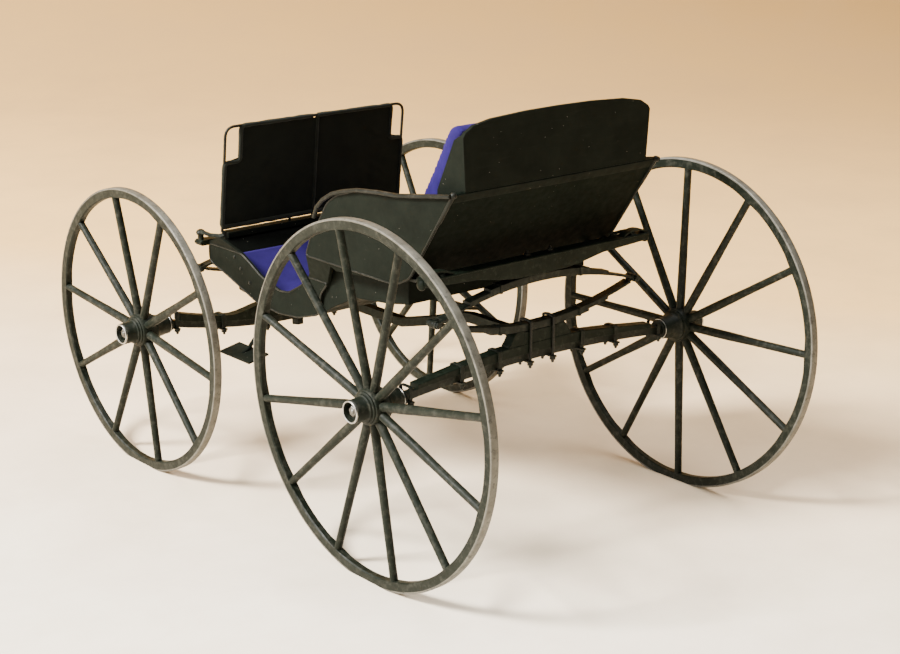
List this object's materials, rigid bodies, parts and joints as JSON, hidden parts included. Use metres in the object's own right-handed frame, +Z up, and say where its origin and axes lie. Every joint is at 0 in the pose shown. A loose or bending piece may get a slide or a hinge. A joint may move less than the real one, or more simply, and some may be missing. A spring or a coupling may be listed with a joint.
{
  "type": "scale model horse-drawn buggy",
  "caption": "Scale model of a light one-seat horse-drawn buggy on elliptic springs, with turning spoked wheels and a steering front axle.",
  "frame": {"origin": "middle of the carriage's outline, on the floor under the wheels", "axes": "+X to the carriage's left, -Y to its front, +Z up"},
  "size_m": [0.1848, 0.2906, 0.1731],
  "materials": {
    "tyre_iron": "worn, rubbed bare on the tread",
    "wheel_paint": "satin olive-black paint, rubbed at the edges",
    "bright_metal": "bright turned metal",
    "ironwork": "satin black paint",
    "gear_paint": "satin olive-black paint",
    "rod_paint": "satin black paint",
    "body_paint": "matte black paint",
    "black_cloth": "matte black cloth",
    "blue_cloth": "matte royal blue cloth"
  },
  "bodies": {
    "carriage": {"rear_axle": "ironwork", "rear_axle_bed": "gear_paint", "rear_spring_block": "gear_paint", "rear_spring_lower": "ironwork", "rear_spring_upper": "ironwork", "rear_crossbar": "gear_paint", "loop_irons": "ironwork", "reach": "gear_paint", "head_block": "gear_paint", "fifth_wheel_upper": "ironwork", "king_pin": "ironwork", "front_spring_lower": "ironwork", "front_spring_upper": "ironwork", "front_crossbar": "gear_paint", "spring_bolts": "ironwork", "axle_nuts_rear": "bright_metal", "side_panel_left": "body_paint", "side_panel_right": "body_paint", "floor": "body_paint", "toe_board": "body_paint", "seat_box": "body_paint", "seat_board": "body_paint", "seat_rear_panel": "body_paint", "backrest": "body_paint", "seat_cushion": "blue_cloth", "back_cushion": "blue_cloth", "arm_rails": "rod_paint", "dash_frame": "rod_paint", "dash_cloth": "black_cloth", "carpet": "blue_cloth", "step_left": "ironwork", "step_right": "ironwork"},
    "front_gear": {"front_axle": "ironwork", "front_axle_bed": "gear_paint", "fifth_wheel_lower": "ironwork", "shaft_couplings": "ironwork", "axle_nuts_front": "bright_metal"},
    "rear_left_wheel": {"rear_left_tyre": "tyre_iron", "rear_left_felloe": "wheel_paint", "rear_left_spokes": "wheel_paint", "rear_left_hub": "wheel_paint", "rear_left_bands": "bright_metal"},
    "rear_right_wheel": {"rear_right_tyre": "tyre_iron", "rear_right_felloe": "wheel_paint", "rear_right_spokes": "wheel_paint", "rear_right_hub": "wheel_paint", "rear_right_bands": "bright_metal"},
    "front_left_wheel": {"front_left_tyre": "tyre_iron", "front_left_felloe": "wheel_paint", "front_left_spokes": "wheel_paint", "front_left_hub": "wheel_paint", "front_left_bands": "bright_metal"},
    "front_right_wheel": {"front_right_tyre": "tyre_iron", "front_right_felloe": "wheel_paint", "front_right_spokes": "wheel_paint", "front_right_hub": "wheel_paint", "front_right_bands": "bright_metal"}
  },
  "joints": [
    {"name": "steer", "type": "hinge", "parent": "carriage", "child": "front_gear", "pos_m": [0, -0.08365, 0.06], "axis": [0, 0, 1], "range_deg": [-25, 25]},
    {"name": "rear_left_spin", "type": "hinge", "parent": "carriage", "child": "rear_left_wheel", "pos_m": [0.084, 0.07535, 0.07002], "axis": [0.9997, 0, -0.0227], "continuous": true},
    {"name": "rear_right_spin", "type": "hinge", "parent": "carriage", "child": "rear_right_wheel", "pos_m": [-0.084, 0.07535, 0.07002], "axis": [0.9997, 0, 0.0227], "continuous": true},
    {"name": "front_left_spin", "type": "hinge", "parent": "front_gear", "child": "front_left_wheel", "pos_m": [0.084, -0.08365, 0.06172], "axis": [0.9997, 0, -0.0227], "continuous": true},
    {"name": "front_right_spin", "type": "hinge", "parent": "front_gear", "child": "front_right_wheel", "pos_m": [-0.084, -0.08365, 0.06172], "axis": [0.9997, 0, 0.0227], "continuous": true}
  ]
}
